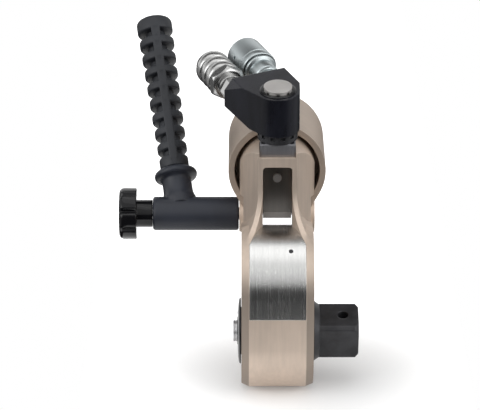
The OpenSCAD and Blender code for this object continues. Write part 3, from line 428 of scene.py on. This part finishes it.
def turned(name, stations, sides=64, flutes=()):
    """A piece turned about +Z: a disc, fluted if asked, drawn up through heights and radii in mm."""
    bpy.ops.object.select_all(action="DESELECT")
    height, radius = (MM * size for size in stations[0])
    bpy.ops.mesh.primitive_circle_add(vertices=sides, radius=radius, fill_type="NGON",
                                      location=(0.0, 0.0, height))
    piece = bpy.context.object
    piece.name = name
    bpy.ops.object.transform_apply(location=True, rotation=True, scale=True)
    for picked, factor in flutes:
        pick_vertices(piece, picked)
        bpy.ops.transform.resize(value=(factor, factor, 1.0), center_override=(0.0, 0.0, height))
        bpy.ops.object.mode_set(mode="OBJECT")
    bpy.ops.object.mode_set(mode="EDIT")
    bpy.ops.mesh.select_all(action="SELECT")
    for station in stations[1:]:
        rise, wide = (MM * size for size in station)
        bpy.ops.mesh.extrude_region_move(TRANSFORM_OT_translate={"value": (0.0, 0.0, rise - height)})
        bpy.ops.transform.resize(value=(wide / radius, wide / radius, 1.0), center_override=(0.0, 0.0, rise))
        height, radius = rise, wide
    bpy.ops.mesh.select_all(action="SELECT")
    bpy.ops.mesh.normals_make_consistent(inside=False)
    bpy.ops.object.mode_set(mode="OBJECT")
    return piece


def pick_vertices(piece, wanted):
    """Edit mode with the vertices selected for which the test holds, by index and place."""
    make_active(piece)
    bpy.ops.object.mode_set(mode="EDIT")
    bpy.ops.mesh.select_mode(type="VERT")
    bpy.ops.mesh.select_all(action="DESELECT")
    bpy.ops.object.mode_set(mode="OBJECT")
    for vertex in piece.data.vertices:
        vertex.select = bool(wanted(vertex.index, vertex.co))
    bpy.ops.object.mode_set(mode="EDIT")


def bar(name, low, high):
    """A box between two corners in mm, as a start for a shaped piece."""
    bpy.ops.object.select_all(action="DESELECT")
    low, high = MM * Vector(low), MM * Vector(high)
    bpy.ops.mesh.primitive_cube_add(size=1.0, location=(low + high) / 2, scale=high - low)
    piece = bpy.context.object
    piece.name = name
    bpy.ops.object.transform_apply(location=True, rotation=True, scale=True)
    return piece


def soften(piece, width, segments=3, angle=35.0):
    """Round the edges that are sharper than an angle, by a width in mm."""
    make_active(piece)
    rounding = piece.modifiers.new("Rounding", "BEVEL")
    rounding.width = MM * width
    rounding.segments = segments
    rounding.limit_method = "ANGLE"
    rounding.angle_limit = math.radians(angle)
    bpy.ops.object.modifier_apply(modifier=rounding.name)


def combine(piece, tool, operation):
    """Join a piece with a tool, cut it or trim it, and use the tool up."""
    make_active(piece)
    change = piece.modifiers.new("Combine", "BOOLEAN")
    change.operation = operation
    change.solver = "EXACT"
    change.object = tool
    bpy.ops.object.modifier_apply(modifier=change.name)
    bpy.data.objects.remove(tool, do_unlink=True)


def bore(piece, low, high, radius, sides=64):
    """Cut a round hole along +Z."""
    combine(piece, turned("bore", [(low, radius), (high, radius)], sides), "DIFFERENCE")


def seat(piece, where):
    """Move a piece to its place, into its mesh."""
    make_active(piece)
    piece.matrix_world = where
    bpy.ops.object.transform_apply(location=True, rotation=True, scale=True)


def fit(piece, material, body, slot, *nodes, smooth=32.0):
    """Clean a finished piece, give it its finish, and set it on its body in place of CAD nodes."""
    make_active(piece)
    bpy.ops.object.mode_set(mode="EDIT")
    bpy.ops.mesh.select_all(action="SELECT")
    bpy.ops.mesh.remove_doubles(threshold=0.001 * MM)
    bpy.ops.mesh.normals_make_consistent(inside=False)
    bpy.ops.object.mode_set(mode="OBJECT")
    bpy.ops.object.shade_smooth_by_angle(angle=math.radians(smooth))
    piece.data.materials.clear()
    piece.data.materials.append(material)
    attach(piece, body)
    if nodes:
        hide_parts(*nodes)


def shift(x, y, z):
    """A move in mm."""
    return Matrix.Translation(MM * Vector((x, y, z)))


def turn(axis, degrees):
    """A turn about an axis."""
    return Matrix.Rotation(math.radians(degrees), 4, axis)


def across(x):
    """Place on the handle's axis, with +Z to the left."""
    return shift(x, *HANDLE) @ turn("Y", -90.0)


def up_grip():
    """Place on the grip's axis, with +Z up the grip."""
    return shift(GRIP_FOOT, *HANDLE) @ turn("X", GRIP_BACK) @ turn("Y", GRIP_OUT)


def up_swivel():
    """Place on the swivel's foot, with +Z up its post."""
    return shift(*SWIVEL_FOOT) @ turn("X", SWIVEL_TILT)


def out_of_port(offset):
    """Place on a port of the manifold, with +Z out of it."""
    manifold = up_swivel() @ shift(0.0, 0.0, PORT_HEIGHT) @ turn("Z", PORT_TURN)
    return manifold @ shift(offset, PORT_FACE, 0.0) @ turn("X", -90.0)


# Operators

class WRENCH_OT_metal_finishes(bpy.types.Operator):
    """Finish the housing, the barrel, the drive and the works inside"""
    bl_idname = "wrench.metal_finishes"
    bl_label = "Metal finishes"

    def execute(self, context):
        self.finish_outside()
        self.finish_inside()
        return {"FINISHED"}

    def finish_outside(self):
        """Plates, sheets and coats that show."""
        nickel, even = paint("nickel"), (90.0, 90.0, 90.0)
        # The housing gets painted shade on the flanks of its nose
        dress(satin_plate("satin_nickel", nickel, flank_shade=0.80), "housing")
        dress(satin_plate("turned_nickel", shade(nickel, 0.78), streaks=(30.0, 420.0, 30.0)), "barrel",
              "end_cap")
        dress(brushed_sheet("brushed_stainless", paint("stainless"), 0.22, depth=0.00045), "shroud")
        dress(brushed_sheet("brushed_guard", paint("guard"), 0.30, (1800.0, 30.0, 30.0)), "guard_plate")
        dress(satin_plate("ground_block", paint("block"), 0.34, 0.0036, (1500.0, 60.0, 60.0)), "swivel_block")
        dress(dark_coat("black_oxide", paint("oxide"), 0.38, 0.45, edge=0.0022), "square_drive")
        dress(dark_coat("black_ring", paint("base_ring"), 0.26), "swivel_base_ring")
        dress(satin_plate("screw_plate", paint("guard_screw"), 0.5, 0.0006, even), "guard_screw")
        dress(satin_plate("cap_plate", paint("cap"), 0.48, 0.0007, even), "swivel_post")

    def finish_inside(self):
        """Steel, bronze and rubber of the works, and the screws."""
        dress(dark_coat("oxide_screws", paint("screws"), 0.34, 0.5), "shroud_screw", "barrel_screws",
              "block_screws", "disc_screws")
        dress(turned_metal("bright_steel", paint("steel"), 0.22), "clamp_bolt", "grip_core", "piston",
              "piston_rod", "left_poppet", "right_poppet")
        dress(turned_metal("tool_steel", paint("tool_steel"), 0.33), "holding_pawl_pin", "ratchet_wheel",
              "crank", "cross_pin", "drive_pawl_pin", "drive_pawl", "holding_pawl")
        dress(turned_metal("blued_spring", paint("spring"), 0.30), "holding_spring", "pawl_spring")
        dress(turned_metal("turned_bronze", paint("bronze"), 0.30), "rod_gland", "drive_bushes")
        dress(moulded("nitrile_seal", paint("seal"), 0.5), "gland_seal", "post_seals", "piston_seal")


class WRENCH_OT_retainer(bpy.types.Operator):
    """Model the domed disc and the button at the drive's left end"""
    bl_idname = "wrench.retainer"
    bl_label = "Retainer"

    def execute(self, context):
        where = shift(DRIVE_LEFT, 0.0, 0.0) @ turn("Y", -90.0)
        disc = turned("domed_retainer", [(0.0, 30.2), (0.3, 30.5), (0.9, 30.5), (1.5, 29.8), (2.1, 27.6),
                                         (2.6, 23.5), (2.9, 18.5), (3.0, 13.2), (3.3, 12.8), (3.5, 12.2),
                                         (3.5, 10.6)], 96)
        bore(disc, -1.0, 5.0, 10.05, 96)
        seat(disc, where)
        fit(disc, dark_coat("blackened_disc", shade(paint("oxide"), 0.6), 0.30, 0.4), "drive", "black_oxide",
            "retainer_disc")
        button = turned("dished_button", [(-10.0, 9.95), (4.6, 9.95), (4.9, 9.5), (5.6, 9.5), (5.9, 9.95),
                                          (6.6, 9.9), (7.05, 9.4), (7.2, 8.6), (7.0, 7.9), (6.4, 7.5),
                                          (6.3, 3.0)], 64)
        seat(button, where)
        fit(button, turned_metal("turned_button", paint("steel"), 0.34), "button", "bright_steel",
            "retainer_button")
        return {"FINISHED"}


class WRENCH_OT_manifold(bpy.types.Operator):
    """Finish the manifold and set the dark washer round the post's head"""
    bl_idname = "wrench.manifold"
    bl_label = "Manifold"

    def execute(self, context):
        dress(dark_coat("black_anodised", paint("anodised"), 0.22, lines=(60.0, 60.0, 12.0), edge=0.0008,
                        film=1.40), "manifold")
        ring = turned("post_washer", [(59.55, 16.2), (59.8, 16.6), (60.2, 16.6), (60.5, 16.2), (60.7, 15.4),
                                      (60.7, 13.4)], 96)
        bore(ring, 58.0, 64.0, 13.2, 96)
        seat(ring, up_swivel())
        fit(ring, dark_coat("washer_black", paint("washer"), 0.2), "swivel", "black_ring")
        return {"FINISHED"}


class WRENCH_OT_left_coupler(bpy.types.Operator):
    """Model the left coupler: its nut and its ringed collar"""
    bl_idname = "wrench.left_coupler"
    bl_label = "Left coupler"

    def execute(self, context):
        sizes = context.scene.wrench_couplers
        chrome = turned_metal("bright_chrome", paint("chrome"), 0.27)
        dress(chrome, "left_nipple")
        where = out_of_port(LEFT_PORT)
        outer = sizes.collar / MM / 2
        inner = outer - 4.0
        nut = self.make_nut(sizes, inner)
        seat(nut, where)
        fit(nut, chrome, "swivel", "chrome_plate", "left_coupler", smooth=28.0)
        collar = turned("ringed_collar", self.ring_stations(sizes, outer), 80)
        bore(collar, 30.0, 72.0, inner + 0.05, 80)
        seat(collar, where)
        fit(collar, chrome, "collar", "chrome_plate", "left_collar", smooth=40.0)
        return {"FINISHED"}

    def make_nut(self, sizes, inner):
        """A chamfered hexagon with its neck and the spigot that carries the collar."""
        corner = sizes.nut / MM / 2 / math.cos(math.pi / 6)
        nut = turned("coupler_nut", [(24.0, corner), (33.0, corner)], 6)
        combine(nut, turned("nut_chamfer", [(23.9, corner - 4.0), (25.0, corner - 2.2), (26.6, corner - 0.7),
                                            (28.0, corner + 0.3), (30.8, corner + 0.3), (32.0, corner - 0.7),
                                            (33.1, corner - 2.2)]), "INTERSECT")
        combine(nut, turned("nut_neck", [(19.0, 10.4), (19.6, 11.0), (25.0, 11.0)]), "UNION")
        combine(nut, turned("spigot", [(32.0, inner), (66.0, inner), (67.0, inner - 1.0)]), "UNION")
        mouth = sizes.left_mouth / MM / 2
        bore(nut, 57.0, 68.0, mouth)
        bore(nut, 40.6, 57.5, mouth - 2.0)
        return nut

    def ring_stations(self, sizes, outer):
        """Heights and radii of the collar's rounded rings, with a groove between each two."""
        pitch = sizes.ring_pitch / MM
        crown = ((0.0, 1.6), (0.8, 0.7), (2.0, 0.2), (3.6, 0.0), (5.4, 0.0), (7.0, 0.2), (8.2, 0.7),
                 (9.0, 1.6))
        stations = [(33.4, outer - 2.6)]
        for ring in range(sizes.rings):
            at = 33.9 + pitch * ring
            stations += [(at + along, outer - drop) for along, drop in crown]
            if ring < sizes.rings - 1:
                stations += [(at + 9.2, outer - 2.1), (at + pitch - 0.2, outer - 2.1)]
        return stations + [(66.0, outer - 2.4), (67.6, outer - 2.8), (68.6, outer - 3.2), (69.0, outer - 3.6)]


class WRENCH_OT_right_coupler(bpy.types.Operator):
    """Model the right coupler: its stepped body and its sliding sleeve"""
    bl_idname = "wrench.right_coupler"
    bl_label = "Right coupler"

    def execute(self, context):
        sizes = context.scene.wrench_couplers
        zinc = turned_metal("clear_zinc", paint("zinc"), 0.36, 40.0)
        dress(zinc, "right_nipple")
        where = out_of_port(RIGHT_PORT)
        outer, mouth = sizes.sleeve / MM / 2, sizes.right_mouth / MM / 2
        inner = outer - 4.5
        body = turned("stepped_coupler", [(19.0, 10.6), (19.5, 11.2), (22.0, 11.3), (22.5, 11.9),
                                          (23.2, 12.2), (35.0, 12.4), (35.5, 13.4), (35.8, 14.8),
                                          (36.2, 15.4), (37.0, 15.7), (38.4, 15.7), (38.9, 15.2),
                                          (39.1, inner), (72.0, inner), (73.0, inner - 1.0)], 80)
        bore(body, 63.0, 74.0, mouth, 80)
        bore(body, 46.6, 63.5, mouth - 2.0, 80)
        seat(body, where)
        fit(body, zinc, "swivel", "zinc_plate", "right_coupler", smooth=40.0)
        sleeve = turned("sliding_sleeve", [(39.3, outer - 1.0), (39.7, outer - 0.4), (40.6, outer),
                                           (46.0, outer), (46.3, outer - 0.5), (46.9, outer - 0.5),
                                           (47.2, outer), (72.4, outer), (73.8, outer - 0.3),
                                           (74.6, outer - 0.9), (75.0, outer - 1.8)], 96)
        bore(sleeve, 36.0, 44.4, outer - 1.2, 96)
        bore(sleeve, 36.0, 78.0, inner + 0.05, 96)
        eye = turned("ball_eye", [(0.0, 1.7), (8.0, 1.7)], 24)
        seat(eye, turn("Z", 200.0) @ shift(outer - 2.0, 0.0, 60.0) @ turn("Y", 90.0))
        combine(sleeve, eye, "DIFFERENCE")
        seat(sleeve, where)
        fit(sleeve, zinc, "sleeve", "zinc_plate", "right_sleeve", smooth=40.0)
        return {"FINISHED"}


class WRENCH_OT_tee(bpy.types.Operator):
    """Model the handle's tee with its neck and its round flange"""
    bl_idname = "wrench.tee"
    bl_label = "Tee"

    def execute(self, context):
        sizes = context.scene.wrench_grip
        radius, long = sizes.tee / MM / 2, sizes.tee_length / MM
        end = ((0.0, 2.0), (0.5, 0.9), (1.4, 0.2), (2.4, 0.0))
        stations = [(along, radius - drop) for along, drop in end]
        stations += [(long - along, radius - drop) for along, drop in reversed(end)]
        tee = turned("handle_tee_body", stations, 96)
        bore(tee, -1.0, long + 1.0, 6.4, 48)
        seat(tee, across(TEE_START))
        neck, rim = sizes.neck / MM / 2, sizes.flange / MM / 2
        post = turned("neck", [(7.0, neck + 1.6), (12.0, neck + 2.1), (15.0, neck + 1.9), (17.0, neck + 1.1),
                               (19.0, neck + 0.5), (22.0, neck + 0.1), (24.0, neck), (32.4, neck),
                               (33.6, neck + 0.4), (34.6, neck + 1.5), (35.2, neck + 3.0), (35.7, rim - 2.0),
                               (36.4, rim - 0.9), (37.6, rim - 0.2), (38.8, rim), (40.2, rim - 0.2),
                               (41.4, rim - 0.9), (42.3, rim - 2.0), (43.0, rim - 3.4), (43.6, rim - 5.0),
                               (44.2, rim - 6.2), (44.5, rim - 7.0)], 96)
        seat(post, up_grip())
        combine(tee, post, "UNION")
        fit(tee, moulded("charcoal_nylon", paint("nylon"), 0.50, edge=0.0020), "handle", "handle_nylon",
            "handle_tee", smooth=50.0)
        return {"FINISHED"}


class WRENCH_OT_grip(bpy.types.Operator):
    """Model the rubber grip with its ribs and spines"""
    bl_idname = "wrench.grip"
    bl_label = "Grip"

    def execute(self, context):
        sizes = context.scene.wrench_grip
        grip = turned("ribbed_grip", self.rib_stations(sizes), 72)
        combine(grip, self.make_spines(sizes), "UNION")
        seat(grip, up_grip())
        fit(grip, moulded("charcoal_rubber", paint("rubber"), 0.56, 1100.0), "handle", "grip_rubber",
            "handle_grip", smooth=48.0)
        return {"FINISHED"}

    def rib_stations(self, sizes):
        """Heights and radii of the plain foot, the ribs that grow upwards, and the rounded end."""
        root, low, high = sizes.root / MM / 2, sizes.low / MM / 2, sizes.high / MM / 2
        stations = [(44.9, 12.6), (45.3, 13.1), (46.1, 13.5), (54.4, 13.7), (55.4, 13.5), (56.2, 12.8),
                    (56.7, root)]
        last = sizes.ribs - 1
        for rib in range(sizes.ribs):
            at = (sizes.first + rib * sizes.pitch) / MM
            top = low + (high - low) * rib / last
            side = root + 0.55 * (top - root)
            stations += [(at - 4.7, root), (at - 4.5, side), (at - 4.0, top - 0.9), (at - 3.1, top - 0.2),
                         (at - 1.8, top), (at + 1.8, top)]
            if rib < last:
                stations += [(at + 3.1, top - 0.2), (at + 4.0, top - 0.9), (at + 4.5, side), (at + 4.7, root)]
            else:
                stations += [(at + 5.8, top), (at + 7.4, top - 0.4), (at + 8.6, top - 1.2),
                             (at + 9.5, top - 2.6), (at + 10.0, top - 4.6)]
        return stations

    def make_spines(self, sizes):
        """A rounded bar through the grip, just under the ribs, that widens with them."""
        sunk, foot, head = 0.3, 51.0, 198.0
        half, thin, thick = sizes.spine / MM / 2, sizes.low / MM / 2 - sunk, sizes.high / MM / 2 - sunk
        spines = bar("spines", (-half, -thin, foot), (half, thin, head))
        pick_vertices(spines, lambda index, place: place.z > MM * (foot + head) / 2)
        bpy.ops.transform.resize(value=(1.0, thick / thin, 1.0), center_override=(0.0, 0.0, MM * head))
        bpy.ops.object.mode_set(mode="OBJECT")
        soften(spines, 1.2)
        return spines


class WRENCH_OT_knob(bpy.types.Operator):
    """Model the fluted clamp knob with its stem"""
    bl_idname = "wrench.knob"
    bl_label = "Knob"

    def execute(self, context):
        sizes = context.scene.wrench_knob
        radius, low = sizes.diameter / MM / 2, sizes.stem_length / MM
        high = low + sizes.thickness / MM
        steps = 16
        cut = sizes.depth / MM / radius

        def phase(*wanted):
            return lambda index, place: index % steps in wanted

        flutes = [(phase(0), 1.0 - cut), (phase(1, steps - 1), 1.0 - 0.8 * cut),
                  (phase(2, steps - 2), 1.0 - 0.25 * cut)]
        knob = turned("fluted_knob", [(low, radius - 0.9), (low + 0.3, radius - 0.3), (low + 0.9, radius),
                                      (high - 4.6, radius), (high - 3.0, radius - 0.3),
                                      (high - 1.8, radius - 0.9), (high - 0.8, radius - 2.0),
                                      (high - 0.2, radius - 3.6), (high, radius - 5.6),
                                      (high - 0.5, radius - 9.0), (high - 0.8, radius - 16.0)],
                      steps * sizes.flutes, flutes)
        stem = sizes.stem / MM / 2
        rod = turned("stem", [(0.0, stem - 0.7), (0.2, stem - 0.2), (0.7, stem), (low + 1.0, stem)], 96)
        combine(knob, rod, "UNION")
        seat(knob, across(KNOB_START) @ turn("Z", KNOB_TURN))
        fit(knob, glossy_black("black_thermoset", paint("thermoset")), "knob", "gloss_black", "clamp_knob",
            smooth=26.0)
        return {"FINISHED"}


class WRENCH_OT_stage(bpy.types.Operator):
    """Set the floor, the studio light and the camera"""
    bl_idname = "wrench.stage"
    bl_label = "Stage"

    def execute(self, context):
        sizes = context.scene.wrench_stage
        self.lay_floor(sizes)
        self.light_studio(context.scene, sizes)
        self.set_camera(context.scene, sizes)
        context.scene.view_settings.view_transform = "Standard"
        return {"FINISHED"}

    def lay_floor(self, sizes):
        """A pale sheet with a painted glow, low near the nose to keep the shadow and stronger away from it,
        so it turns white to the camera and in metal.
        """
        bpy.ops.object.select_all(action="DESELECT")
        ground, middle = CAD_BOX[0][2], sizes.floor_size / 2 - sizes.floor_front
        bpy.ops.mesh.primitive_plane_add(size=sizes.floor_size, location=(0.0, middle, ground - FLOOR_GAP))
        floor = bpy.context.object
        floor.name = "floor"
        floor.scale.x = sizes.floor_width / sizes.floor_size
        bpy.ops.object.transform_apply(location=True, rotation=True, scale=True)
        material, start = new_finish("pale_floor")
        paper = start.node("BsdfDiffuse", Color=tuple(sizes.floor_colour))
        apart = start.node("VectorMath", {"operation": "DISTANCE"}, out="Value", Vector_0=place_of(start),
                           Vector_1=(SHADOW_X, 0.0, ground))
        # Painted light: the floor glows for camera and reflected rays, least at the shadow's middle and more
        # with distance
        glow = seen_rays(start) * (apart.step(*SHADOW_FADE) * FLOOR_GAIN + SHADOW_GLOW)
        painted_glow = start.node("Emission", Color=WHITE, Strength=glow)
        start.node("OutputMaterial", Surface=start.node("AddShader", Shader_0=paper, Shader_1=painted_glow))
        floor.data.materials.append(material)

    def light_studio(self, scene, sizes):
        """A room graded by direction and white to the camera, with softboxes above and at both sides."""
        world = bpy.data.worlds.new("studio")
        scene.world = world
        world.use_nodes = True
        world.node_tree.nodes.clear()
        start = Wire(world.node_tree)
        ray = start.node("TexCoord", out="Generated")
        up, along = part_of(start, ray, "Z"), part_of(start, ray, "Y")
        aside = size_of(start, part_of(start, ray, "X"))
        angle = start.math("ARCTAN2", up, 0.0 - along) * (180.0 / math.pi)
        level = angle.step(*FRONT_RISE) * FRONT_GAIN + FRONT_LIGHT
        front = angle.step(*HORIZON) * (1.0 - angle.step(*OVERHEAD)) * level
        back = angle.step(*BACKDROP) * (seen_rays(start) * BACK_GAIN + BACK_LIGHT)
        room = front + back + aside.step(*SIDES) * SIDE_LIGHT + ROOM_LIGHT
        seen = start.node("LightPath", out="Is Camera Ray")
        strength = seen + (1.0 - seen) * room
        start.node("OutputWorld", Surface=start.node("Background", Color=WHITE, Strength=strength))
        foot, waist = (0.0, 0.04, 0.0), (0.0, 0.04, 0.1)
        self.add_softbox("overhead_softbox", (-0.12, -0.10, 1.60), foot, (2.0, 1.0), sizes.lamp_power)
        self.add_softbox("strip_light", (-0.12, -0.08, 1.50), foot, (1.2, 0.12), sizes.strip_power)
        for name, x in (("left_softbox", -1.60), ("right_softbox", 1.60)):
            self.add_softbox(name, (x, -1.15, 0.80), waist, (1.4, 1.6), sizes.fill_power)

    def add_softbox(self, name, place, aim, size, watts):
        """A soft rectangular lamp, aimed at a point."""
        bpy.ops.object.select_all(action="DESELECT")
        aimed = (Vector(aim) - Vector(place)).to_track_quat("-Z", "Y").to_euler()
        bpy.ops.object.light_add(type="AREA", location=place, rotation=aimed)
        lamp = bpy.context.object
        lamp.name = name
        lamp.data.shape = "RECTANGLE"
        lamp.data.size, lamp.data.size_y = size
        lamp.data.energy = watts

    def set_camera(self, scene, sizes):
        """The photograph's view: a camera aimed at the target, framing the given width."""
        tilt = sizes.elevation
        back = Vector((0.0, -math.cos(tilt), math.sin(tilt)))
        place = Vector(sizes.target) + sizes.distance * back
        bpy.ops.object.select_all(action="DESELECT")
        bpy.ops.object.camera_add(location=place, rotation=(math.pi / 2 - tilt, 0.0, 0.0))
        camera = bpy.context.object
        camera.data.sensor_fit = "HORIZONTAL"
        camera.data.sensor_width = SENSOR
        camera.data.lens = SENSOR * sizes.distance / sizes.frame_width
        scene.camera = camera


class WRENCH_PT_panel(bpy.types.Panel):
    """Buttons for the wrench's pieces"""
    bl_idname = "WRENCH_PT_panel"
    bl_label = "Torque wrench"
    bl_space_type = "VIEW_3D"
    bl_region_type = "UI"
    bl_category = "Wrench"

    def draw(self, context):
        for step in STEPS:
            self.layout.operator(step.bl_idname)


STEPS = (WRENCH_OT_metal_finishes, WRENCH_OT_retainer, WRENCH_OT_manifold, WRENCH_OT_left_coupler,
         WRENCH_OT_right_coupler, WRENCH_OT_tee, WRENCH_OT_grip, WRENCH_OT_knob, WRENCH_OT_stage)
GROUPS = {"wrench_finishes": WrenchFinishes, "wrench_grip": WrenchGrip, "wrench_knob": WrenchKnob,
          "wrench_couplers": WrenchCouplers, "wrench_stage": WrenchStage}


def register():
    for kind in (*GROUPS.values(), *STEPS, WRENCH_PT_panel):
        bpy.utils.register_class(kind)
    for name, kind in GROUPS.items():
        setattr(bpy.types.Scene, name, PointerProperty(type=kind))


def unregister():
    for name in GROUPS:
        delattr(bpy.types.Scene, name)
    for kind in reversed((*GROUPS.values(), *STEPS, WRENCH_PT_panel)):
        bpy.utils.unregister_class(kind)


def main():
    register()
    for step in STEPS:
        group, name = step.bl_idname.split(".")
        getattr(getattr(bpy.ops, group), name)()


if __name__ == "__main__":
    main()
